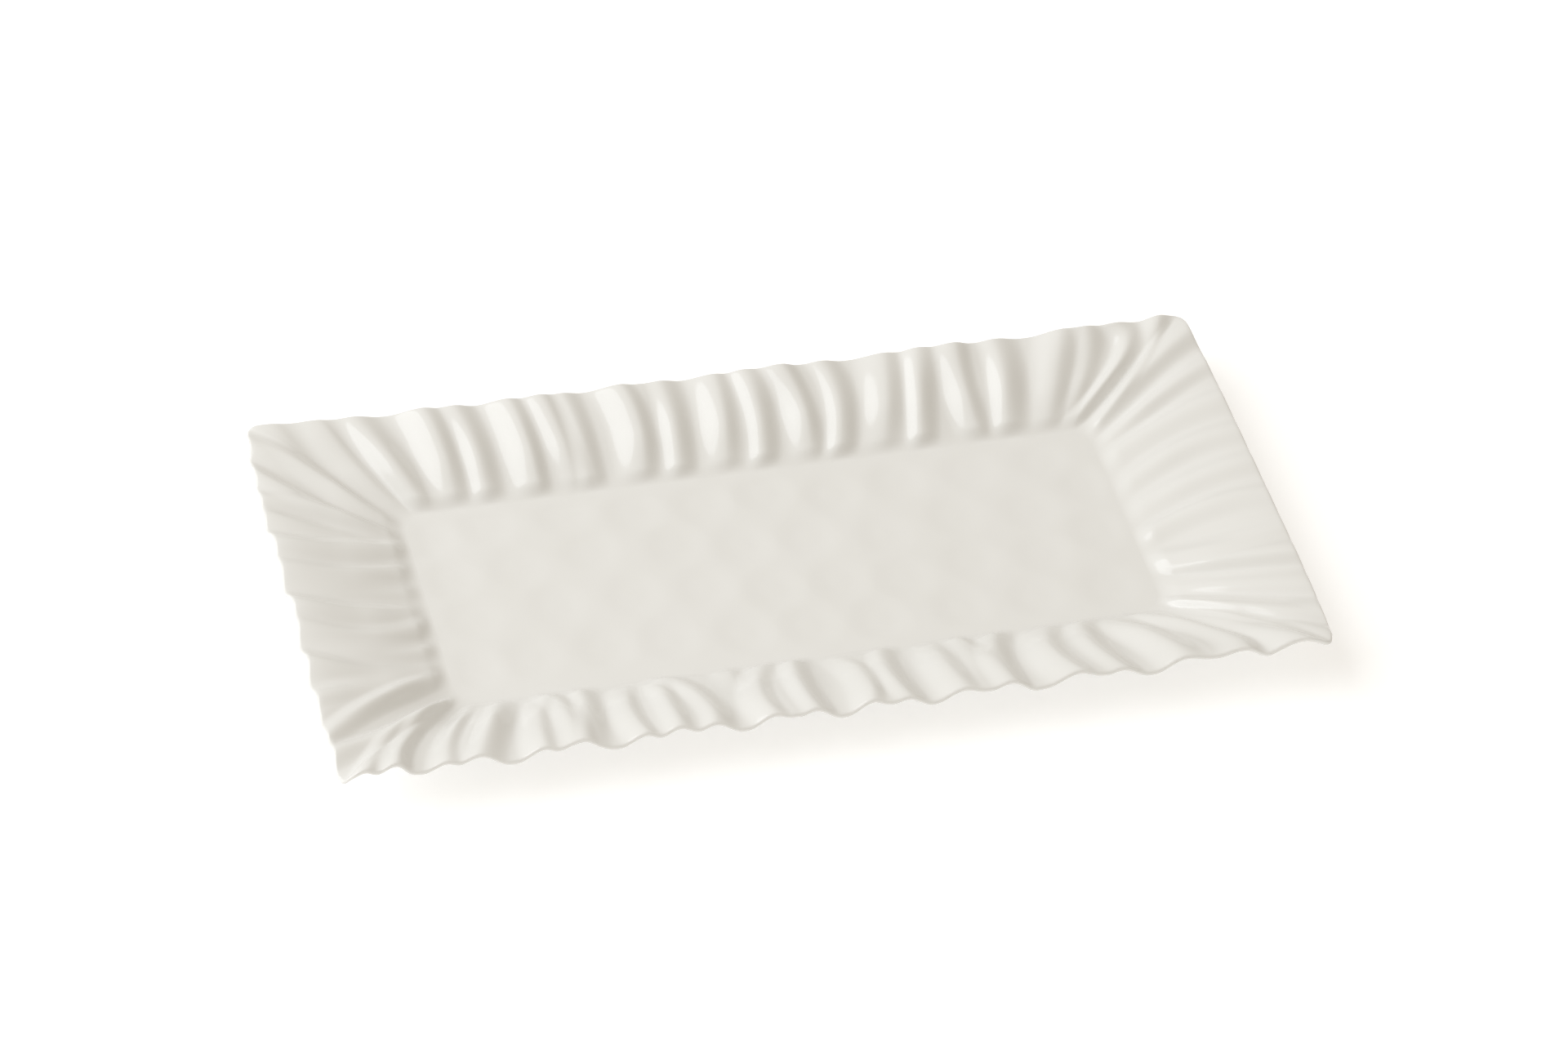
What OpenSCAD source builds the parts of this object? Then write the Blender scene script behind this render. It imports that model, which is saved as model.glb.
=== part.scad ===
// Rectangular china serving platter: a flat well, a wide pleated rim with a wavy rounded lip,
// and an unglazed foot ring under the well.
// The origin is the centre of the foot ring's underside. +X runs along the length, +Y to the back, +Z up.

/* [Overall size] */
// Length of the platter over its lip
length = 403; // [383:5:423]
// Width of the platter over its lip
width = 196; // [186:2:206]
// Radius of the four corner tips of the rim
tip_r = 5; // [3:0.5:8]
// How far the middle of a long side lies inside the line between its corners
side_bow = 2; // [0:0.5:3]
// How far the middle of a short end lies outside the line between its corners
end_bulge = 1.8; // [0:0.2:3]

/* [Well] */
// Length of the flat well
well_length = 288; // [280:2:296]
// Width of the flat well
well_width = 104; // [98:2:108]
// Radius of the well's corners
well_r = 9; // [6:1:14]
// Thickness of the well
well_t = 5; // [4:0.5:6]

/* [Rim] */
// Rise of the rim from the well to the lip, at the bottom of the pleats
rim_rise = 13; // [10:0.5:16]
// How quickly the rim flattens towards the lip (1 is a straight cone)
rim_curve = 1.4; // [1.2:0.1:2.2]
// Thickness of the rim at its lip
lip_t = 2.4; // [2:0.2:3]
// Length of lip each side of a corner that fans out from the well's corner
fan = 50; // [40:2:56]

/* [Pleats] */
// Height of the pleats, as a share of their usual height
pleat_scale = 1; // [0.5:0.1:1.1]
// How far a pleat leans inward for each millimetre that it rises
pleat_lean = 0.45; // [0:0.05:0.5]
// Share of the rim's breadth over which the pleats rise out of the well's edge
pleat_start = 0.17; // [0.12:0.01:0.19]

/* [Foot] */
// Height of the foot ring
foot_h = 3; // [2:0.5:4]
// Breadth of the foot ring's bearing face
foot_w = 4; // [3:0.5:6]
// Distance from the well's edge in to the foot ring
foot_inset = 6; // [4:1:12]
// Radius of the foot ring's outer corners
foot_r = 10; // [8:1:14]

/* [Hidden] */
$fn = 64;

// The pleats, clockwise from the back left corner, one row for each ridge:
// [its place along the side at the lip, half way in and at the well],
// [how far its flank reaches before it and after it], [its height at the same three places].
// Places are millimetres from the start of a side of this length.
LONG_SIDE = 400;
SHORT_SIDE = 196;
// Height of the pleats where a long side's lip reaches farthest out
DRAW = 2.8;
// The rim eases out of the well's flat floor over about this share of its breadth
FOOT_EASE = 0.15;
// The lines from lip to well change to a corner's fan over this much lip each side of its start
FAN_EASE = 20;

BACK_PLEATS = [
    [[2, -5, -15], [45, 50], [2, 0.5, 0]],
    [[9, -12, -34], [16, 14], [2, 2.2, 0.8]],
    [[29, 20, 12], [16, 11], [2.5, 2, 0.3]],
    [[44, 44, 46], [13, 13], [3, 4.2, 2.6]],
    [[77, 75, 73], [18.5, 19], [2.3, 1.2, 0.3]],
    [[71, 70, 64.5], [13, 9], [2.4, 3, 1.6]],
    [[86.5, 85, 80], [8, 9.5], [1.9, 2.9, 2]],
    [[118, 117, 115], [22, 22], [2, 1.3, 0]],
    [[107, 106.5, 103], [12.5, 8], [2.6, 3.3, 2.2]],
    [[121.5, 122.5, 122], [9, 8], [1.9, 2.3, 1.2]],
    [[131.5, 131, 128], [7, 8.5], [1.8, 2.4, 2]],
    [[161, 160, 158], [21, 20], [2.2, 1.3, 0.3]],
    [[154, 156, 150], [13.5, 8.5], [2.5, 3, 1.4]],
    [[173, 172, 168], [8, 9.5], [1.9, 2.9, 2.1]],
    [[217, 217, 216], [35, 36], [2.6, 0.3, 0]],
    [[200, 199.5, 197], [17, 17], [0, 1.3, 0.3]],
    [[234, 235, 234], [17, 17], [0, 1.3, 0.3]],
    [[194, 193, 189], [12, 8.5], [2.4, 2.8, 1.2]],
    [[207, 210, 206], [8, 9], [1.8, 2.9, 2.2]],
    [[223.5, 229, 229], [11, 8], [2.4, 3, 1.1]],
    [[241.5, 246, 241], [8.5, 10], [2.4, 3.1, 2.3]],
    [[291, 291, 290], [37, 37], [2.8, 0.3, 0]],
    [[272, 273, 271], [17, 17], [0, 1.3, 0.3]],
    [[311, 312, 312], [20, 20], [0, 1.3, 0.3]],
    [[267, 266, 262], [13.5, 9.5], [2.5, 2.7, 1.1]],
    [[282, 282, 281], [8, 9.5], [2, 3.2, 2.4]],
    [[298.5, 302, 310], [11, 8], [2.4, 3.1, 1.8]],
    [[317, 321, 322], [9.5, 12], [2.7, 3.8, 2.3]],
    [[354, 351, 347], [24, 25], [2.8, 1.3, 0.3]],
    [[345, 344, 341], [13, 11], [2.3, 2.2, 1.2]],
    [[357, 363, 352], [8, 8], [1.3, 1.2, 0]],
    [[371, 385, 358], [10, 10], [2.3, 3.6, 1]],
    [[390, 404, 410], [10, 7], [2.5, 1, 0]],
    [[395, 400, 400], [30, 40], [1.5, 0.5, 0]],
];

RIGHT_PLEATS = [
    [[11, 9, 11], [13, 10], [3, 3.2, 1.3]],
    [[30.5, 34, 46], [9, 8], [2, 2.4, 0.5]],
    [[51, 53, 62], [10, 11], [2, 2, 1.5]],
    [[71, 72, 82], [10, 9], [1.8, 2.2, 1]],
    [[89, 91, 98], [10, 9], [1.8, 2, 0.8]],
    [[108, 107, 114], [8, 10], [1.5, 2, 2]],
    [[128, 130, 126], [9, 8], [1, 1.5, 1]],
    [[143.5, 140, 132], [13, 7], [3, 2.8, 1.5]],
    [[161, 160, 155], [12, 8], [2, 2, 0.8]],
    [[178.5, 183, 182], [14, 7], [2.8, 3, 1.8]],
    [[190, 193, 192], [10, 9], [1.5, 1, 0]],
];

FRONT_PLEATS = [
    [[8, 0, -8], [25, 34], [3, 0.9, 0]],
    [[12, 5, -4], [13, 20], [3.2, 1.8, 0]],
    [[52, 50, 50], [26, 23], [3.2, 2.2, 0.8]],
    [[36, 35, 64], [9, 14], [3.5, 2.8, 1.2]],
    [[63.5, 65, 74], [12, 13], [2.5, 3, 1]],
    [[101, 98, 90], [23, 23], [2.5, 2, 0.8]],
    [[87, 89, 79], [9, 9], [2.2, 2.2, 1.6]],
    [[106.5, 108, 94], [9, 14], [2, 2.7, 1]],
    [[146, 144, 138], [22, 22], [2.3, 2, 0.8]],
    [[133, 130, 118], [9, 10], [3, 3.2, 2.2]],
    [[140, 138, 139], [7, 9], [0, 1, 1.6]],
    [[154, 154, 151], [9, 12], [2, 2.2, 0.6]],
    [[185.5, 185, 183], [17.5, 17.5], [2.5, 2, 0.8]],
    [[175, 177, 171], [9, 8], [2.3, 2.5, 1.8]],
    [[191, 189, 195], [7, 10], [2, 1.6, 0.2]],
    [[222.5, 223, 218], [19.5, 19.5], [2.6, 2, 0.8]],
    [[212.5, 215, 211], [9, 8], [2.4, 2.8, 1.8]],
    [[231, 233, 223], [8, 10], [2.2, 2.4, 1.3]],
    [[241, 241, 241], [7, 11], [0, 0.5, 1.6]],
    [[267, 268, 270], [25, 25], [2.6, 2, 0.8]],
    [[253, 257.5, 273], [10, 8], [2.6, 2, 1.4]],
    [[268, 271.5, 274], [7, 7], [1.6, 1.8, 0.4]],
    [[282, 287.5, 286], [7, 10], [2.4, 2.5, 0.2]],
    [[312.5, 314, 316], [20.5, 20.5], [2.6, 2, 0.8]],
    [[303, 304, 307], [9, 7], [1.3, 2.2, 1.6]],
    [[307.5, 313, 323], [8, 8], [1.8, 1.6, 1.2]],
    [[322.5, 325, 323], [7, 10], [2.2, 1.8, 0.2]],
    [[352, 353, 352], [19, 18], [2.8, 2, 0.8]],
    [[346, 344.5, 341], [11, 9], [2.2, 3.4, 0.6]],
    [[361, 367, 366], [7, 9], [2, 2.4, 0.4]],
    [[388, 397, 406], [34, 20], [3, 1.2, 0]],
    [[381, 396, 408], [8.5, 9], [3.5, 3.4, 0.2]],
    [[394, 406, 414], [9, 9], [3.2, 1.8, 0]],
];

LEFT_PLEATS = [
    [[16, 9, 12], [9, 8], [3.1, 3.2, 0.9]],
    [[98, 98, 98], [90, 90], [1.5, 0.5, 0]],
    [[39, 42, 48], [11, 12], [1.5, 1, 0]],
    [[26, 38, 53], [9, 8], [2.2, 3.6, 1]],
    [[46, 48, 50], [8, 8], [1.8, 1, 0]],
    [[64, 57, 60], [11, 9], [2.9, 1.8, 1.4]],
    [[72, 68, 73], [8, 8], [0, 1.6, 2]],
    [[88, 86, 92], [16, 16], [1.8, 1.5, 0.5]],
    [[83, 77, 90], [10, 8], [1.4, 2, 1.8]],
    [[95.5, 92, 97], [10, 8.5], [2.4, 1.6, 0.7]],
    [[107, 105, 108], [8, 8], [0, 1.2, 1.4]],
    [[122, 122, 126], [20, 15], [1.6, 1.3, 0.5]],
    [[115, 113.5, 124], [10, 8], [1.3, 1.8, 1.1]],
    [[131, 130, 137], [10, 8.5], [2.6, 2.2, 1.8]],
    [[147, 139, 136], [10, 8], [1.8, 1.2, 0]],
    [[156, 153, 148], [8, 8], [2.4, 1.8, 0.7]],
    [[169, 155, 140], [11, 10], [2.4, 2, 0.7]],
    [[187, 183, 170], [10, 9], [2.2, 1, 0.4]],
];

// Heights of the three levels
well_z = foot_h + well_t;
// The lip's round edge stands this far outside the rim's top surface
lip_r = lip_t / 2;
drawn_in = DRAW * pleat_lean * pleat_scale;
// The ends of the plain rim bulge, and the pleats of its long sides lean inward, so it is laid out
// a little shorter than the platter and a little wider
outer_l = length - lip_t - 2 * end_bulge;
outer_w = width - lip_t + 2 * drawn_in;
girth = 2 * (outer_l + outer_w);

// Columns around the rim, and the shares of the rim's breadth at which its rings lie
COLUMNS = 360;
TOP_SHARES = [0, pleat_start / 2, pleat_start, 0.2, 0.35, 0.5, 0.67, 0.84, 1];
LIP_ANGLES = [60, 120, 180];
UNDER_SHARES = [0.75, 0.5, 0.25, 0.08, 0];

// ---- Plan of the rim ----

// A side's own place: its start along the girth, its length, the rim's half breadth across it,
// and the same two sizes of the well
function side_of(s) =
    s < outer_l ? 0 :
    s < outer_l + outer_w ? 1 :
    s < 2 * outer_l + outer_w ? 2 : 3;
function side_start(k) = [0, outer_l, outer_l + outer_w, 2 * outer_l + outer_w][k];
function is_long(k) = k % 2 == 0;
function side_run(k) = is_long(k) ? outer_l : outer_w;
function side_reach(k) = (is_long(k) ? outer_w : outer_l) / 2;
function well_run(k) = is_long(k) ? well_length : well_width;
function well_reach(k) = (is_long(k) ? well_width : well_length) / 2;

// A point given along a side from its middle, and out from the centre
function on_side(k, along, out) =
    k == 0 ? [along, out] :
    k == 1 ? [out, -along] :
    k == 2 ? [-along, -out] : [-out, along];

// Draws a point of a sharp corner in to the tip's radius
function round_tip(p) =
    let (
        centre = [outer_l / 2 - tip_r, outer_w / 2 - tip_r],
        past = [abs(p.x) - centre.x, abs(p.y) - centre.y],
        reach = norm(past)
    )
    past.x <= 0 || past.y <= 0 || reach <= tip_r ? p :
    [sign(p.x) * (centre.x + past.x * tip_r / reach), sign(p.y) * (centre.y + past.y * tip_r / reach)];

function lip_point(s) =
    let (
        k = side_of(s),
        along = s - side_start(k) - side_run(k) / 2,
        bow = (is_long(k) ? side_bow : -end_bulge) * (1 - pow(2 * along / side_run(k), 4))
    )
    round_tip(on_side(k, along, side_reach(k) - bow));

// The lines from lip to well run straight in along a side and fan out round a corner.
// Their pace is how far the well's edge runs for each millimetre of lip.
function fan_start(k) = side_run(k) / 2 - fan;
function half_well(k) = well_run(k) / 2 - well_r;
function straight_pace(k) = half_well(k) / fan_start(k);
corner_pace = well_r * PI / 4 / fan;
function into_fan(k, along) = min(max((abs(along) - fan_start(k) + FAN_EASE) / (2 * FAN_EASE), 0), 1);
function pace(k, along) = straight_pace(k) + (corner_pace - straight_pace(k)) * into_fan(k, along);

// Run along the well's edge from the middle of a side
function edge_run(k, along) =
    let (past = max(abs(along) - fan_start(k) - FAN_EASE, 0))
    straight_pace(k) * (abs(along) - past) + corner_pace * past +
    (corner_pace - straight_pace(k)) * FAN_EASE * pow(into_fan(k, along), 2);

function well_point(s) =
    let (
        k = side_of(s),
        along = s - side_start(k) - side_run(k) / 2,
        run = edge_run(k, along),
        turn = max(run - half_well(k), 0) / well_r * 180 / PI
    )
    on_side(
        k,
        sign(along) * (min(run, half_well(k)) + well_r * sin(turn)),
        well_reach(k) - well_r + well_r * cos(turn)
    );

// ---- Pleats ----

function smooth(x) = x >= 1 ? 1 : x * x * (3 - 2 * x);
function wrapped(s) = s - girth * floor(s / girth);

// A value given at the lip, half way in and at the well: a curve for a place, eased steps for a height
function curved(v, share) =
    v[2] * (1 - share) * (1 - 2 * share) + v[1] * 4 * share * (1 - share) + v[0] * share * (2 * share - 1);
function graded(v, share) =
    share > 0.5 ? v[1] + (v[0] - v[1]) * smooth(2 * share - 1) : v[2] + (v[1] - v[2]) * smooth(2 * share);

// How closely the lines from lip to well run at a share of the rim's breadth; 1 at the lip
function closeness(s, share) =
    let (
        k = side_of(s),
        along = s - side_start(k) - side_run(k) / 2
    )
    share + (1 - share) * pace(k, along);

// One side's ridges at a share of the rim's breadth:
// [place along the girth, reach before it, reach after it, height]
function side_ridges(pleats, k, share) = [
    for (p = pleats)
        let (
            place = side_start(k) + curved(p[0], share) * side_run(k) / (is_long(k) ? LONG_SIDE : SHORT_SIDE),
            spread = 1 / sqrt(closeness(wrapped(place), share))
        )
        [place, p[1][0] * spread, p[1][1] * spread, graded(p[2], share) * pleat_scale]
];

function ridges(share) = [
    each side_ridges(BACK_PLEATS, 0, share),
    each side_ridges(RIGHT_PLEATS, 1, share),
    each side_ridges(FRONT_PLEATS, 2, share),
    each side_ridges(LEFT_PLEATS, 3, share)
];

// What one ridge adds at a place on the girth
function ridge_height(s, ridge) =
    let (
        gap = wrapped(s - ridge[0] + girth / 2) - girth / 2,
        way = abs(gap) / (gap < 0 ? ridge[1] : ridge[2])
    )
    way >= 1 ? 0 : ridge[3] * (1 + cos(180 * way)) / 2;

// Height of the pleats above the plain rim: all ridges added up
function relief(s, rows) =
    [for (ridge = rows) ridge_height(s, ridge)] * [for (ridge = rows) 1];

// ---- Rings of the rim ----

// The plain rim's own rise below the pleats
function plain_rise(share) =
    let (eased = share * share * (1 + FOOT_EASE) / (share + FOOT_EASE))
    rim_rise * (1 - pow(1 - eased, rim_curve));

function top_point(s, share, rows) =
    let (
        low = well_point(s),
        high = lip_point(s),
        away = (high - low) / norm(high - low),
        lift = relief(s, rows) * smooth(share / pleat_start),
        plan = low + (high - low) * share - away * pleat_lean * lift
    )
    [plan.x, plan.y, well_z + plain_rise(share) + lift];

function girth_at(i) = girth * i / COLUMNS;
function top_ring(share) =
    let (rows = ridges(share))
    [for (i = [0 : COLUMNS - 1]) top_point(girth_at(i), share, rows)];

// The lip's half round edge
function lip_ring(angle) =
    let (rows = ridges(1))
    [
        for (i = [0 : COLUMNS - 1])
            let (
                s = girth_at(i),
                away = lip_point(s) - well_point(s),
                plan = away / norm(away) * lip_r * sin(angle)
            )
            top_point(s, 1, rows) + [plan.x, plan.y, -lip_r * (1 - cos(angle))]
    ];

function under_ring(share) = [
    for (p = top_ring(share)) p - [0, 0, lip_t + (well_t - lip_t) * (1 - share)]
];

rim_rings = [
    for (share = TOP_SHARES) top_ring(share),
    for (angle = LIP_ANGLES) lip_ring(angle),
    for (share = UNDER_SHARES) under_ring(share)
];

// Two triangles for each cell between neighbouring rings and columns, all the way round both
rim_faces = [
    for (j = [0 : len(rim_rings) - 1], i = [0 : COLUMNS - 1])
        let (
            j2 = (j + 1) % len(rim_rings),
            i2 = (i + 1) % COLUMNS,
            a = j * COLUMNS + i,
            b = j2 * COLUMNS + i,
            c = j2 * COLUMNS + i2,
            d = j * COLUMNS + i2
        )
        each [[a, b, c], [a, c, d]]
];

// ---- Sub-parts ----

// Flat floor of the dish; its edge is the rim's inner face
module well() {
    color("whitesmoke")
        translate([0, 0, foot_h])
            linear_extrude(well_t)
                polygon([for (i = [0 : COLUMNS - 1]) well_point(girth_at(i))]);
}

// Pleated rim, from the well's edge to the lip and back underneath
module rim() {
    color("ivory")
        polyhedron([for (ring = rim_rings) each ring], rim_faces);
}

module rounded_rectangle(l, w, r) {
    square([l - 2 * r, w], center = true);
    square([l, w - 2 * r], center = true);
    for (x = [-1, 1], y = [-1, 1])
        translate([x * (l / 2 - r), y * (w / 2 - r)])
            circle(r);
}

// Unglazed ring that the platter stands on
module foot_ring() {
    foot_l = well_length - 2 * foot_inset;
    foot_b = well_width - 2 * foot_inset;
    color("linen")
        linear_extrude(foot_h)
            difference() {
                rounded_rectangle(foot_l, foot_b, foot_r);
                rounded_rectangle(foot_l - 2 * foot_w, foot_b - 2 * foot_w, foot_r - foot_w);
            }
}

well();
rim();
foot_ring();
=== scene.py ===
import math
from itertools import accumulate

import bpy
import numpy as np
from mathutils import Matrix, Vector


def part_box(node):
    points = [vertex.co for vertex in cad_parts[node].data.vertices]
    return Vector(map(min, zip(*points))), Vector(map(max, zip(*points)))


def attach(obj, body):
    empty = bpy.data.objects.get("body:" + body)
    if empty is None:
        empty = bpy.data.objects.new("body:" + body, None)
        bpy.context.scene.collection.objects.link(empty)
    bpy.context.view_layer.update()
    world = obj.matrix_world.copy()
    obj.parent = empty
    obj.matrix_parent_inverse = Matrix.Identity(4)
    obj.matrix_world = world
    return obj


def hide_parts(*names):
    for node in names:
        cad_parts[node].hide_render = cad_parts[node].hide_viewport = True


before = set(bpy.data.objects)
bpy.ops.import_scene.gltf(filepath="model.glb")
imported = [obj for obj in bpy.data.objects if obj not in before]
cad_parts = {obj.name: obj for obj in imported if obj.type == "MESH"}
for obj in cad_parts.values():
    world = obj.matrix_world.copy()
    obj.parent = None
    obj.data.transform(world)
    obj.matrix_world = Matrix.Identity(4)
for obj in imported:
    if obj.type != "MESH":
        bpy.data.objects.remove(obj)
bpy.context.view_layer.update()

# Lengths are in millimetres, as in the part, up to the moment a mesh is made.
MM = 0.001

rim_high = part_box("rim")[1] / MM
well_low, well_high = (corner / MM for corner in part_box("well"))
foot_low, foot_high = (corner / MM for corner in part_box("foot_ring"))

# ---- Driving sizes, shared with the part ----

# The right end and the back reach full size. The left end and the front stop just short of it.
LENGTH = round(2 * rim_high.x)
WIDTH = round(2 * rim_high.y)
WELL_LENGTH = well_high.x - well_low.x
WELL_WIDTH = well_high.y - well_low.y
WELL_TOP = well_high.z
WELL_T = well_high.z - well_low.z
TIP_R = 5
SIDE_BOW = 2
END_BULGE = 1.8
WELL_R = 9
RIM_RISE = 13
RIM_CURVE = 1.4
LIP_T = 2.4
FAN = 50
FAN_EASE = 20
PLEAT_LEAN = 0.45
PLEAT_START = 0.17
# Height of the pleats where a long side's lip reaches farthest out
DRAW = 2.8
DRAWN_IN = DRAW * PLEAT_LEAN
FOOT_W = 4
FOOT_R = 10

# The rim eases out of the well's flat floor over about this share of its breadth
FOOT_EASE = 0.15
# Radius of the foot ring's lower edges
FOOT_EDGE = 0.9

# ---- Fineness of the meshes ----

# Columns round the rim and the well, and the rings that the well closes in by
COLUMNS = 1600
WELL_RINGS = 64
# Rows of the rim's upper surface: where the pleats rise out of the well, and from there to the lip
FOOT_ROWS = 13
RIM_ROWS = 37
# Steps round the half of the lip's edge, and round a quarter of the foot ring's lower edge
LIP_STEPS = 10
FOOT_STEPS = 6
# Faces that meet at more than this angle, in degrees, keep a sharp edge between them
SHARP_ANGLE = 50

# ---- Pleats ----

# Clockwise from the back left corner, one row for each ridge:
# [its place along the side at the lip, half way in and at the well],
# [how far its flank reaches before it and after it], [its height at the same three places].
# Places are millimetres from the start of a side, for sides of these lengths.
LONG_SIDE = 400
SHORT_SIDE = 196

BACK_PLEATS = [
    [[2, -5, -15], [45, 50], [2, 0.5, 0]],
    [[9, -12, -34], [16, 14], [2, 2.2, 0.8]],
    [[29, 20, 12], [16, 11], [2.5, 2, 0.3]],
    [[44, 44, 46], [13, 13], [3, 4.2, 2.6]],
    [[77, 75, 73], [18.5, 19], [2.3, 1.2, 0.3]],
    [[71, 70, 64.5], [13, 9], [2.4, 3, 1.6]],
    [[86.5, 85, 80], [8, 9.5], [1.9, 2.9, 2]],
    [[118, 117, 115], [22, 22], [2, 1.3, 0]],
    [[107, 106.5, 103], [12.5, 8], [2.6, 3.3, 2.2]],
    [[121.5, 122.5, 122], [9, 8], [1.9, 2.3, 1.2]],
    [[131.5, 131, 128], [7, 8.5], [1.8, 2.4, 2]],
    [[161, 160, 158], [21, 20], [2.2, 1.3, 0.3]],
    [[154, 156, 150], [13.5, 8.5], [2.5, 3, 1.4]],
    [[173, 172, 168], [8, 9.5], [1.9, 2.9, 2.1]],
    [[217, 217, 216], [35, 36], [2.6, 0.3, 0]],
    [[200, 199.5, 197], [17, 17], [0, 1.3, 0.3]],
    [[234, 235, 234], [17, 17], [0, 1.3, 0.3]],
    [[194, 193, 189], [12, 8.5], [2.4, 2.8, 1.2]],
    [[207, 210, 206], [8, 9], [1.8, 2.9, 2.2]],
    [[223.5, 229, 229], [11, 8], [2.4, 3, 1.1]],
    [[241.5, 246, 241], [8.5, 10], [2.4, 3.1, 2.3]],
    [[291, 291, 290], [37, 37], [2.8, 0.3, 0]],
    [[272, 273, 271], [17, 17], [0, 1.3, 0.3]],
    [[311, 312, 312], [20, 20], [0, 1.3, 0.3]],
    [[267, 266, 262], [13.5, 9.5], [2.5, 2.7, 1.1]],
    [[282, 282, 281], [8, 9.5], [2, 3.2, 2.4]],
    [[298.5, 302, 310], [11, 8], [2.4, 3.1, 1.8]],
    [[317, 321, 322], [9.5, 12], [2.7, 3.8, 2.3]],
    [[354, 351, 347], [24, 25], [2.8, 1.3, 0.3]],
    [[345, 344, 341], [13, 11], [2.3, 2.2, 1.2]],
    [[357, 363, 352], [8, 8], [1.3, 1.2, 0]],
    [[371, 385, 358], [10, 10], [2.3, 3.6, 1]],
    [[390, 404, 410], [10, 7], [2.5, 1, 0]],
    [[395, 400, 400], [30, 40], [1.5, 0.5, 0]],
]
RIGHT_PLEATS = [
    [[11, 9, 11], [13, 10], [3, 3.2, 1.3]],
    [[30.5, 34, 46], [9, 8], [2, 2.4, 0.5]],
    [[51, 53, 62], [10, 11], [2, 2, 1.5]],
    [[71, 72, 82], [10, 9], [1.8, 2.2, 1]],
    [[89, 91, 98], [10, 9], [1.8, 2, 0.8]],
    [[108, 107, 114], [8, 10], [1.5, 2, 2]],
    [[128, 130, 126], [9, 8], [1, 1.5, 1]],
    [[143.5, 140, 132], [13, 7], [3, 2.8, 1.5]],
    [[161, 160, 155], [12, 8], [2, 2, 0.8]],
    [[178.5, 183, 182], [14, 7], [2.8, 3, 1.8]],
    [[190, 193, 192], [10, 9], [1.5, 1, 0]],
]
FRONT_PLEATS = [
    [[8, 0, -8], [25, 34], [3, 0.9, 0]],
    [[12, 5, -4], [13, 20], [3.2, 1.8, 0]],
    [[52, 50, 50], [26, 23], [3.2, 2.2, 0.8]],
    [[36, 35, 64], [9, 14], [3.5, 2.8, 1.2]],
    [[63.5, 65, 74], [12, 13], [2.5, 3, 1]],
    [[101, 98, 90], [23, 23], [2.5, 2, 0.8]],
    [[87, 89, 79], [9, 9], [2.2, 2.2, 1.6]],
    [[106.5, 108, 94], [9, 14], [2, 2.7, 1]],
    [[146, 144, 138], [22, 22], [2.3, 2, 0.8]],
    [[133, 130, 118], [9, 10], [3, 3.2, 2.2]],
    [[140, 138, 139], [7, 9], [0, 1, 1.6]],
    [[154, 154, 151], [9, 12], [2, 2.2, 0.6]],
    [[185.5, 185, 183], [17.5, 17.5], [2.5, 2, 0.8]],
    [[175, 177, 171], [9, 8], [2.3, 2.5, 1.8]],
    [[191, 189, 195], [7, 10], [2, 1.6, 0.2]],
    [[222.5, 223, 218], [19.5, 19.5], [2.6, 2, 0.8]],
    [[212.5, 215, 211], [9, 8], [2.4, 2.8, 1.8]],
    [[231, 233, 223], [8, 10], [2.2, 2.4, 1.3]],
    [[241, 241, 241], [7, 11], [0, 0.5, 1.6]],
    [[267, 268, 270], [25, 25], [2.6, 2, 0.8]],
    [[253, 257.5, 273], [10, 8], [2.6, 2, 1.4]],
    [[268, 271.5, 274], [7, 7], [1.6, 1.8, 0.4]],
    [[282, 287.5, 286], [7, 10], [2.4, 2.5, 0.2]],
    [[312.5, 314, 316], [20.5, 20.5], [2.6, 2, 0.8]],
    [[303, 304, 307], [9, 7], [1.3, 2.2, 1.6]],
    [[307.5, 313, 323], [8, 8], [1.8, 1.6, 1.2]],
    [[322.5, 325, 323], [7, 10], [2.2, 1.8, 0.2]],
    [[352, 353, 352], [19, 18], [2.8, 2, 0.8]],
    [[346, 344.5, 341], [11, 9], [2.2, 3.4, 0.6]],
    [[361, 367, 366], [7, 9], [2, 2.4, 0.4]],
    [[388, 397, 406], [34, 20], [3, 1.2, 0]],
    [[381, 396, 408], [8.5, 9], [3.5, 3.4, 0.2]],
    [[394, 406, 414], [9, 9], [3.2, 1.8, 0]],
]
LEFT_PLEATS = [
    [[16, 9, 12], [9, 8], [3.1, 3.2, 0.9]],
    [[98, 98, 98], [90, 90], [1.5, 0.5, 0]],
    [[39, 42, 48], [11, 12], [1.5, 1, 0]],
    [[26, 38, 53], [9, 8], [2.2, 3.6, 1]],
    [[46, 48, 50], [8, 8], [1.8, 1, 0]],
    [[64, 57, 60], [11, 9], [2.9, 1.8, 1.4]],
    [[72, 68, 73], [8, 8], [0, 1.6, 2]],
    [[88, 86, 92], [16, 16], [1.8, 1.5, 0.5]],
    [[83, 77, 90], [10, 8], [1.4, 2, 1.8]],
    [[95.5, 92, 97], [10, 8.5], [2.4, 1.6, 0.7]],
    [[107, 105, 108], [8, 8], [0, 1.2, 1.4]],
    [[122, 122, 126], [20, 15], [1.6, 1.3, 0.5]],
    [[115, 113.5, 124], [10, 8], [1.3, 1.8, 1.1]],
    [[131, 130, 137], [10, 8.5], [2.6, 2.2, 1.8]],
    [[147, 139, 136], [10, 8], [1.8, 1.2, 0]],
    [[156, 153, 148], [8, 8], [2.4, 1.8, 0.7]],
    [[169, 155, 140], [11, 10], [2.4, 2, 0.7]],
    [[187, 183, 170], [10, 9], [2.2, 1, 0.4]],
]

# ---- Plan of the rim ----

OUTER_L = LENGTH - LIP_T - 2 * END_BULGE
OUTER_W = WIDTH - LIP_T + 2 * DRAWN_IN
GIRTH = 2 * (OUTER_L + OUTER_W)

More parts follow.
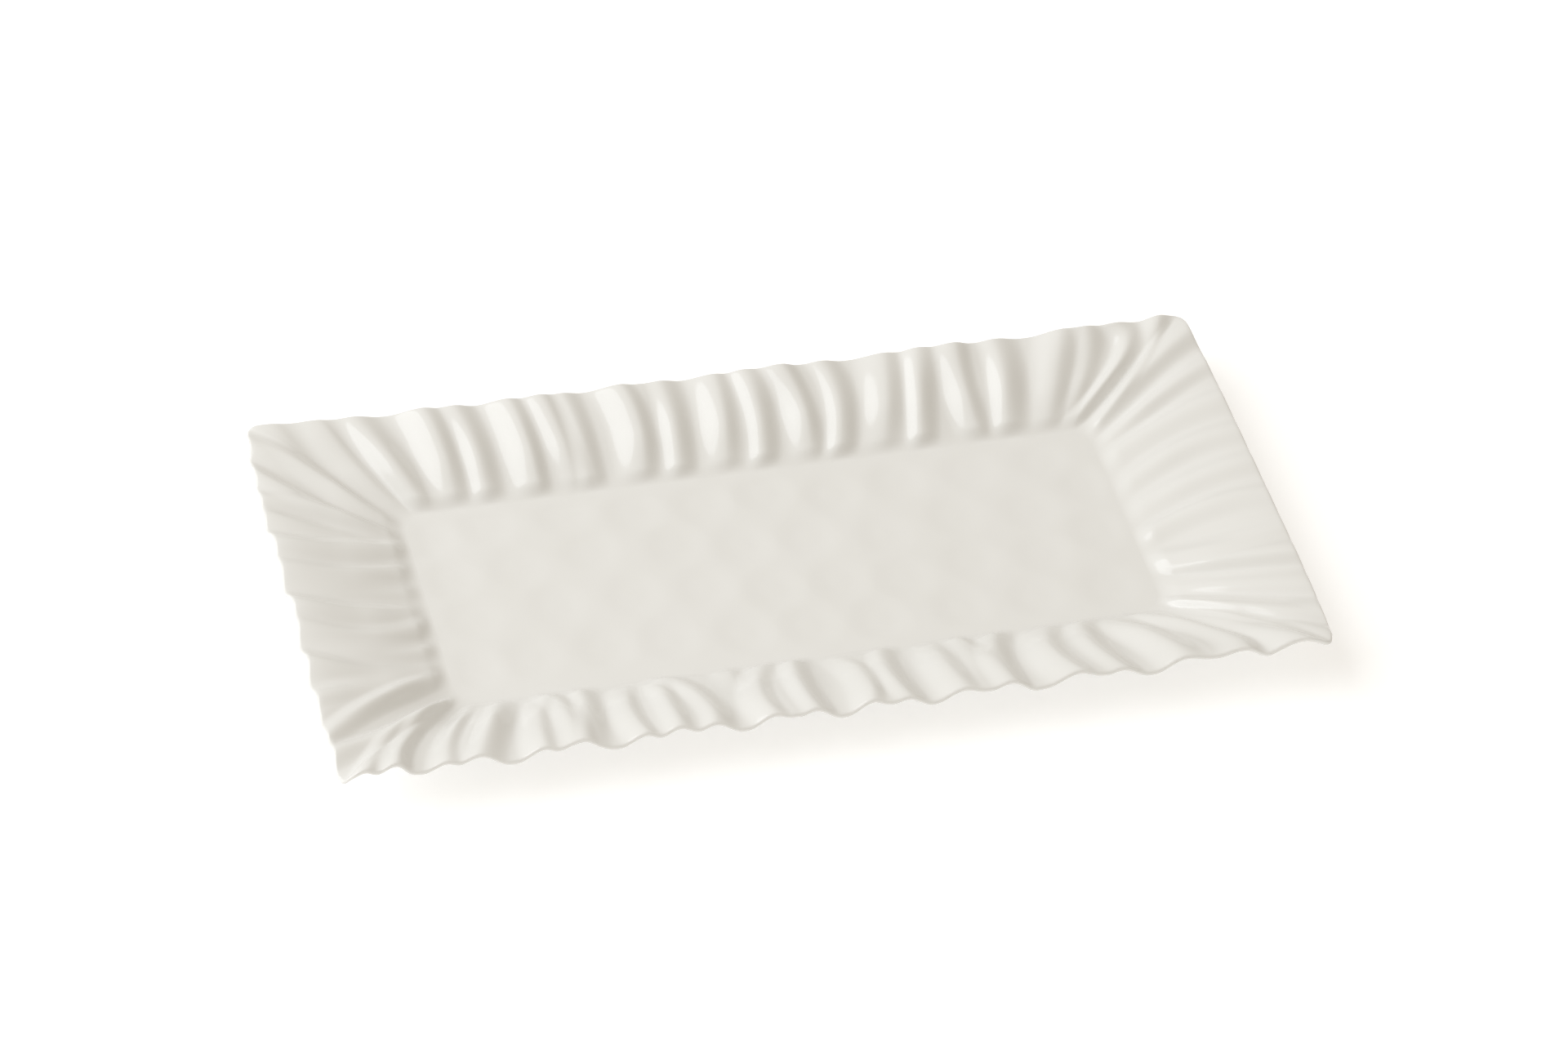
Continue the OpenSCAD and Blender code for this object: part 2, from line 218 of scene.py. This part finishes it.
# Each side's own sizes, clockwise from the back
SIDE_RUN = np.array([OUTER_L, OUTER_W, OUTER_L, OUTER_W])
SIDE_START = np.array([0, *accumulate(SIDE_RUN[:3])])
SIDE_REACH = np.array([OUTER_W, OUTER_L, OUTER_W, OUTER_L]) / 2
WELL_RUN = np.array([WELL_LENGTH, WELL_WIDTH, WELL_LENGTH, WELL_WIDTH])
WELL_REACH = np.array([WELL_WIDTH, WELL_LENGTH, WELL_WIDTH, WELL_LENGTH]) / 2
# How far the well's edge runs round a corner for each millimetre of lip
CORNER_PACE = WELL_R * math.pi / 4 / FAN
LISTED_RUN = [LONG_SIDE, SHORT_SIDE, LONG_SIDE, SHORT_SIDE]


def smooth(x):
    """Eased step from 0 to 1."""
    x = np.clip(x, 0, 1)
    return x * x * (3 - 2 * x)


def side_place(s):
    """The side that a place on the girth is on, and its distance along it from the middle."""
    s = np.mod(s, GIRTH)
    side = np.searchsorted(SIDE_START, s, side="right") - 1
    return side, s - SIDE_START[side] - SIDE_RUN[side] / 2


def on_side(side, along, out):
    """A point given along a side from its middle, and out from the centre."""
    x = np.choose(side, [along, out, -along, -out])
    y = np.choose(side, [out, -along, -out, along])
    return np.stack([x, y], axis=-1)


def round_tips(points):
    """Draws the sharp corners in to the tips' radius."""
    centre = np.array([OUTER_L / 2 - TIP_R, OUTER_W / 2 - TIP_R])
    past = np.abs(points) - centre
    reach = np.linalg.norm(past, axis=-1)
    at_tip = (past.min(axis=-1) > 0) & (reach > TIP_R)
    shrink = TIP_R / np.maximum(reach, TIP_R)
    drawn = np.sign(points) * (centre + past * shrink[:, None])
    return np.where(at_tip[:, None], drawn, points)


def lip_points(s):
    """The plain rim's outer edge in plan: the long sides bow in a little, the short ends out."""
    side, along = side_place(s)
    bow = np.where(side % 2 == 0, SIDE_BOW, -END_BULGE) * (1 - (2 * along / SIDE_RUN[side]) ** 4)
    return round_tips(on_side(side, along, SIDE_REACH[side] - bow))


def fan_start(side):
    """How far from a side's middle the fan round its corner begins."""
    return SIDE_RUN[side] / 2 - FAN


def straight_pace(side):
    """How far the well's edge runs along a straight stretch for each millimetre of lip."""
    return (WELL_RUN[side] / 2 - WELL_R) / fan_start(side)


def into_fan(side, along):
    """How far the lines from lip to well have changed from running straight to fanning out."""
    return np.clip((np.abs(along) - fan_start(side) + FAN_EASE) / (2 * FAN_EASE), 0, 1)


def well_points(s):
    """The well's edge in plan: straight sides, and a corner that the lip near it fans out from."""
    side, along = side_place(s)
    half_well = WELL_RUN[side] / 2 - WELL_R
    pace = straight_pace(side)
    past = np.maximum(np.abs(along) - fan_start(side) - FAN_EASE, 0)
    # Run along the well's edge from the middle of its side
    run = pace * (np.abs(along) - past) + CORNER_PACE * past
    run += (CORNER_PACE - pace) * FAN_EASE * into_fan(side, along) ** 2
    turn = np.maximum(run - half_well, 0) / WELL_R
    return on_side(
        side,
        np.sign(along) * (np.minimum(run, half_well) + WELL_R * np.sin(turn)),
        WELL_REACH[side] - WELL_R + WELL_R * np.cos(turn),
    )


def closeness(s, share):
    """How closely the lines from lip to well run at a share of the rim's breadth; 1 at the lip."""
    side, along = side_place(s)
    pace = straight_pace(side)
    at_well = pace + (CORNER_PACE - pace) * into_fan(side, along)
    return share + (1 - share) * at_well


def curved(at_lip, half_way, at_well, share):
    """A smooth curve through the places at the lip, half way in and at the well."""
    return (
        at_well * (1 - share) * (1 - 2 * share)
        + half_way * 4 * share * (1 - share)
        + at_lip * share * (2 * share - 1)
    )


def graded(at_lip, half_way, at_well, share):
    """A height that eases from one of the three places to the next."""
    if share > 0.5:
        return half_way + (at_lip - half_way) * smooth(2 * share - 1)
    return at_well + (half_way - at_well) * smooth(2 * share)


def ridges(share):
    """All ridges at a share of the breadth: [place on the girth, reach before, reach after, height]."""
    rows = []
    sides = [BACK_PLEATS, RIGHT_PLEATS, FRONT_PLEATS, LEFT_PLEATS]
    for side, pleats in enumerate(sides):
        for places, reaches, heights in pleats:
            stretch = SIDE_RUN[side] / LISTED_RUN[side]
            place = SIDE_START[side] + curved(*places, share) * stretch
            spread = 1 / math.sqrt(closeness(place, share))
            rows.append([place, reaches[0] * spread, reaches[1] * spread, graded(*heights, share)])
    return rows


def relief(s, share):
    """Height of the pleats above the plain rim: all ridges added up."""
    total = np.zeros_like(s)
    for place, before, after, height in ridges(share):
        gap = np.mod(s - place + GIRTH / 2, GIRTH) - GIRTH / 2
        way = np.minimum(np.abs(gap) / np.where(gap < 0, before, after), 1)
        total += height * (1 + np.cos(math.pi * way)) / 2
    return total


# ---- Surfaces of the rim ----

GIRTH_PLACES = GIRTH * np.arange(COLUMNS) / COLUMNS
LIP_PLAN = lip_points(GIRTH_PLACES)
WELL_PLAN = well_points(GIRTH_PLACES)
BREADTH = np.linalg.norm(LIP_PLAN - WELL_PLAN, axis=1)[:, None]
OUTWARD = (LIP_PLAN - WELL_PLAN) / BREADTH


def with_height(plan, z):
    """Points in space from points in plan and their heights."""
    return np.column_stack([plan, np.broadcast_to(z, len(plan))])


def plain_rise(share):
    """The rim's own rise below the pleats, eased out of the well's flat floor."""
    eased = share * share * (1 + FOOT_EASE) / (share + FOOT_EASE) if share > 0 else 0
    return RIM_RISE * (1 - (1 - eased) ** RIM_CURVE)


def top_row(share):
    """The rim's upper surface at a share of its breadth."""
    lift = relief(GIRTH_PLACES, share) * smooth(share / PLEAT_START)
    plan = WELL_PLAN + (LIP_PLAN - WELL_PLAN) * share - OUTWARD * PLEAT_LEAN * lift[:, None]
    return with_height(plan, WELL_TOP + plain_rise(share) + lift)


def lip_row(edge, angle):
    """The lip's half round edge, an angle down from its top."""
    radius = LIP_T / 2
    out = OUTWARD * radius * math.sin(angle)
    return edge + with_height(out, -radius * (1 - math.cos(angle)))


def under_row(row, share):
    """The rim's underside below a row of its upper surface."""
    return row - [0, 0, LIP_T + (WELL_T - LIP_T) * (1 - share)]


# ---- Dents in the well ----

# The well's floor has the soft dents of a hand-pressed slab, in four uneven rows from the back:
# [x, y] of each dent's middle
DENTS = [
    [-136, 38], [-111, 42], [-80, 42], [-52, 38], [-24, 38],
    [3, 40], [30, 34], [58, 37], [89, 37], [120, 38],
    [-132, 14], [-105, 16], [-74, 20], [-40, 17], [-13, 12],
    [14, 12], [45, 8], [76, 13], [107, 11], [134, 22],
    [-128, -8], [-94, -7], [-63, -7], [-34, -8], [-7, -14],
    [20, -14], [46, -17], [75, -12], [105, -14], [131, -5],
    [-134, -35], [-110, -33], [-81, -33], [-55, -33], [-25, -35],
    [2, -36], [30, -38], [64, -37], [95, -37], [126, -37],
]
DENT_DEPTH = 0.42
# A dent's flat floor and its outer edge, as distances from its middle
DENT_FLOOR = 4
DENT_REACH = 14.5
# The dents fade out this far from the well's edge
DENT_MARGIN = 8


def dents(plan):
    """Depth of the dents in the well's floor at points in plan."""
    depth = np.zeros(len(plan))
    for centre in DENTS:
        gap = np.linalg.norm(plan - centre, axis=1)
        depth += DENT_DEPTH * smooth((DENT_REACH - gap) / (DENT_REACH - DENT_FLOOR))
    from_edge = np.minimum(
        WELL_LENGTH / 2 - np.abs(plan[:, 0]),
        WELL_WIDTH / 2 - np.abs(plan[:, 1]),
    )
    return depth * smooth(from_edge / DENT_MARGIN)


# ---- Meshes ----


def new_piece(name, points, faces, material, node):
    """A smooth mesh piece, in metres, that stands for a node of the part."""
    mesh = bpy.data.meshes.new(name)
    mesh.from_pydata((np.asarray(points) * MM).tolist(), [], faces)
    mesh.shade_smooth()
    mesh.set_sharp_from_angle(angle=math.radians(SHARP_ANGLE))
    mesh.materials.append(material)
    piece = bpy.data.objects.new(name, mesh)
    bpy.context.scene.collection.objects.link(piece)
    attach(piece, "root")
    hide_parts(node)
    return piece


def ring_faces(rows, columns, closed):
    """Four-sided faces between neighbouring closed rows; closed also joins the last row to the first."""
    faces = []
    for j in range(rows if closed else rows - 1):
        here, there = j * columns, (j + 1) % rows * columns
        for i in range(columns):
            i2 = (i + 1) % columns
            faces.append((here + i, here + i2, there + i2, there + i))
    return faces


def make_rim(material):
    """The pleated rim, from the well's edge over the lip and back underneath."""
    near_well = PLEAT_START * np.linspace(0, 1, FOOT_ROWS)
    over_rim = np.linspace(PLEAT_START, 1, RIM_ROWS + 1)[1:]
    shares = [*near_well, *over_rim]
    rows = [top_row(share) for share in shares]
    edge = rows[-1]
    angles = [math.pi * k / LIP_STEPS for k in range(1, LIP_STEPS + 1)]
    lip = [lip_row(edge, angle) for angle in angles]
    # The underside runs back to the well by every second row, and its first is already the lip's last
    under = [under_row(row, share) for row, share in zip(rows, shares)][:0:-2]
    under.append(under_row(rows[0], 0))
    all_rows = rows + lip + under[1:]
    faces = ring_faces(len(all_rows), COLUMNS, closed=True)
    return new_piece("pleated_rim", np.concatenate(all_rows), faces, material, "rim")


def make_well(material):
    """The flat floor with its soft dents: rings that close in on the centre."""
    rows = []
    for ring in range(WELL_RINGS):
        plan = WELL_PLAN * (1 - ring / WELL_RINGS)
        rows.append(with_height(plan, WELL_TOP - dents(plan)))
    centre = np.zeros((1, 2))
    top_middle = with_height(centre, WELL_TOP - dents(centre))
    bottom_edge = with_height(WELL_PLAN, WELL_TOP - WELL_T)
    points = np.concatenate([bottom_edge, *rows, top_middle])
    faces = ring_faces(WELL_RINGS + 1, COLUMNS, closed=False)
    last, middle = WELL_RINGS * COLUMNS, len(points) - 1
    faces += [(last + i, last + (i + 1) % COLUMNS, middle) for i in range(COLUMNS)]
    faces.append(tuple(range(COLUMNS))[::-1])
    return new_piece("dented_well", points, faces, material, "well")


def rounded_rectangle(length, width, radius, steps=16):
    """Points of a rounded rectangle in plan, the same number at each corner."""
    points = []
    for corner in range(4):
        x = (length / 2 - radius) * (1 if corner in (0, 3) else -1)
        y = (width / 2 - radius) * (1 if corner in (0, 1) else -1)
        for step in range(steps + 1):
            angle = math.pi / 2 * (corner + step / steps)
            points.append([x + radius * math.cos(angle), y + radius * math.sin(angle)])
    return np.array(points)


def make_foot_ring(material):
    """The ring that the platter stands on, with rounded lower edges."""
    length, width = foot_high.x - foot_low.x, foot_high.y - foot_low.y
    top, floor = foot_high.z, foot_low.z
    quarter = [math.pi / 2 * k / FOOT_STEPS for k in range(FOOT_STEPS + 1)]
    outer = [[FOOT_EDGE * (1 - math.cos(a)), FOOT_EDGE * (1 - math.sin(a))] for a in quarter]
    # The section: how far in from the outer face, and the height above the floor
    inner = [[FOOT_W - inset, height] for inset, height in outer[::-1]]
    section = [[0, top - floor], *outer, *inner, [FOOT_W, top - floor]]
    rows = []
    for inset, height in section:
        plan = rounded_rectangle(length - 2 * inset, width - 2 * inset, FOOT_R - inset)
        rows.append(with_height(plan, floor + height))
    faces = ring_faces(len(rows), len(rows[0]), closed=True)
    return new_piece("foot_ring_bare", np.concatenate(rows), faces, material, "foot_ring")


# ---- Materials ----


def node_material(name):
    """An empty node material: its shader, and functions that add and join nodes."""
    material = bpy.data.materials.new(name)
    material.use_nodes = True
    tree = material.node_tree
    shader = tree.nodes["Principled BSDF"]
    coordinates = tree.nodes.new("ShaderNodeTexCoord").outputs["Object"]

    def noise(scale, detail, roughness=0.5):
        node = tree.nodes.new("ShaderNodeTexNoise")
        node.inputs["Scale"].default_value = scale
        node.inputs["Detail"].default_value = detail
        node.inputs["Roughness"].default_value = roughness
        tree.links.new(coordinates, node.inputs["Vector"])
        return node.outputs["Fac"]

    def between(factor, low, high, to_low, to_high):
        node = tree.nodes.new("ShaderNodeMapRange")
        for label, value in zip(
            ("From Min", "From Max", "To Min", "To Max"), (low, high, to_low, to_high)
        ):
            node.inputs[label].default_value = value
        tree.links.new(factor, node.inputs["Value"])
        return node.outputs["Result"]

    def blend(factor, first, second):
        node = tree.nodes.new("ShaderNodeMix")
        node.data_type = "RGBA"
        node.inputs["A"].default_value = (*first, 1)
        node.inputs["B"].default_value = (*second, 1)
        tree.links.new(factor, node.inputs["Factor"])
        return node.outputs["Result"]

    def bump(height, strength, distance, under=None):
        node = tree.nodes.new("ShaderNodeBump")
        node.inputs["Strength"].default_value = strength
        node.inputs["Distance"].default_value = distance
        tree.links.new(height, node.inputs["Height"])
        if under is not None:
            tree.links.new(under, node.inputs["Normal"])
        return node.outputs["Normal"]

    return material, tree, shader, noise, between, blend, bump


def glaze_material():
    """Warm white glaze: a gloss over a faintly uneven body, with slight cloudiness in the colour."""
    material, tree, shader, noise, between, blend, bump = node_material("white_glaze")
    shader.inputs["IOR"].default_value = 1.5
    cloud = noise(22, 3)
    tint = blend(between(cloud, 0.35, 0.65, 0, 1), (0.845, 0.837, 0.813), (0.836, 0.828, 0.801))
    tree.links.new(tint, shader.inputs["Base Color"])
    tree.links.new(between(noise(60, 2), 0.3, 0.7, 0.11, 0.17), shader.inputs["Roughness"])
    waves = bump(noise(70, 1), 0.25, 0.0004)
    skin = bump(noise(650, 2), 0.10, 0.00006, waves)
    tree.links.new(skin, shader.inputs["Normal"])
    return material


def bare_material():
    """Unglazed fired china on the foot: matte, a little darker, with a fine sandy grain."""
    material, tree, shader, noise, between, blend, bump = node_material("bare_china")
    tint = blend(between(noise(160, 4, 0.6), 0.3, 0.7, 0, 1), (0.80, 0.78, 0.73), (0.70, 0.67, 0.61))
    tree.links.new(tint, shader.inputs["Base Color"])
    tree.links.new(between(noise(300, 2), 0.3, 0.7, 0.68, 0.85), shader.inputs["Roughness"])
    tree.links.new(bump(noise(1500, 3, 0.65), 0.5, 0.0001), shader.inputs["Normal"])
    return material


def floor_material():
    """Plain white paper, bright enough to lose the horizon."""
    material, tree, shader, *_ = node_material("white_floor")
    shader.inputs["Base Color"].default_value = (0.93, 0.93, 0.93, 1)
    shader.inputs["Roughness"].default_value = 0.9
    shader.inputs["Specular IOR Level"].default_value = 0.1
    shader.inputs["Emission Color"].default_value = (1, 1, 1, 1)
    shader.inputs["Emission Strength"].default_value = 0.3
    return material


# ---- The object ----

glaze = glaze_material()
make_rim(glaze)
make_well(glaze)
make_foot_ring(bare_material())

# ---- Studio: floor, light and camera, in metres and degrees ----

FLOOR_SIZE = 16


def make_floor():
    """A plain floor at the height of the foot ring's underside."""
    half = FLOOR_SIZE / 2
    mesh = bpy.data.meshes.new("studio_floor")
    corners = [(-half, -half, 0), (half, -half, 0), (half, half, 0), (-half, half, 0)]
    mesh.from_pydata(corners, [], [(0, 1, 2, 3)])
    mesh.materials.append(floor_material())
    floor = bpy.data.objects.new("studio_floor", mesh)
    bpy.context.scene.collection.objects.link(floor)


def make_sun(name, towards, width, strength, colour):
    """A distant light as wide as an angle in the sky; towards points from the object to it."""
    light = bpy.data.lights.new(name, "SUN")
    light.angle = math.radians(width)
    light.energy = strength
    light.color = colour
    lamp = bpy.data.objects.new(name, light)
    lamp.rotation_euler = Vector(towards).to_track_quat("Z", "Y").to_euler()
    bpy.context.scene.collection.objects.link(lamp)


def make_softbox(name, towards, distance, width, power, colour):
    """A broad round light that faces the object."""
    light = bpy.data.lights.new(name, "AREA")
    light.shape = "DISK"
    light.size = width
    light.energy = power
    light.color = colour
    lamp = bpy.data.objects.new(name, light)
    way = Vector(towards).normalized()
    lamp.location = way * distance
    lamp.rotation_euler = way.to_track_quat("Z", "Y").to_euler()
    bpy.context.scene.collection.objects.link(lamp)


def make_sky(overhead, level, strength):
    """Soft light from all round, a little warmer and dimmer near the floor than overhead."""
    world = bpy.data.worlds.new("studio")
    world.use_nodes = True
    tree = world.node_tree
    split = tree.nodes.new("ShaderNodeSeparateXYZ")
    tree.links.new(tree.nodes.new("ShaderNodeTexCoord").outputs["Generated"], split.inputs["Vector"])
    mix = tree.nodes.new("ShaderNodeMix")
    mix.data_type = "RGBA"
    mix.inputs["A"].default_value = (*level, 1)
    mix.inputs["B"].default_value = (*overhead, 1)
    tree.links.new(split.outputs["Z"], mix.inputs["Factor"])
    background = tree.nodes["Background"]
    tree.links.new(mix.outputs["Result"], background.inputs["Color"])
    background.inputs["Strength"].default_value = strength
    bpy.context.scene.world = world


def make_camera(azimuth, elevation, roll, aim, distance, lens):
    """A camera that looks at a point from an azimuth and elevation, rolled about its own axis."""
    azimuth, elevation, roll = (math.radians(angle) for angle in (azimuth, elevation, roll))
    back = Vector((
        math.sin(azimuth) * math.cos(elevation),
        -math.cos(azimuth) * math.cos(elevation),
        math.sin(elevation),
    ))
    level = Vector((0, 0, 1)).cross(back).normalized()
    upright = back.cross(level)
    right = math.cos(roll) * level + math.sin(roll) * upright
    up = math.cos(roll) * upright - math.sin(roll) * level
    camera = bpy.data.cameras.new("camera")
    camera.lens = lens
    camera.sensor_width = 36
    camera.clip_end = 50
    holder = bpy.data.objects.new("camera", camera)
    turn = Matrix((right, up, back)).transposed()
    holder.matrix_world = Matrix.LocRotScale(Vector(aim) + back * distance, turn.to_quaternion(), None)
    bpy.context.scene.collection.objects.link(holder)
    bpy.context.scene.camera = holder


make_floor()
make_softbox("key", (-1.0, 0.24, 0.87), 3.2, 3.6, 73.5, (0.895, 0.945, 1.0))
make_sun("sparkle", (-0.72, 0.18, 0.67), 1.5, 0.03, (1.0, 1.0, 1.0))
make_sky((1.09, 1.025, 0.93), (0.58, 0.54, 0.47), 0.66)
make_camera(
    azimuth=-19.70,
    elevation=44.13,
    roll=6.58,
    aim=(0.0026, 0.0107, 0.0192),
    distance=2.1053,
    lens=121.3,
)
bpy.context.scene.view_settings.view_transform = "Standard"
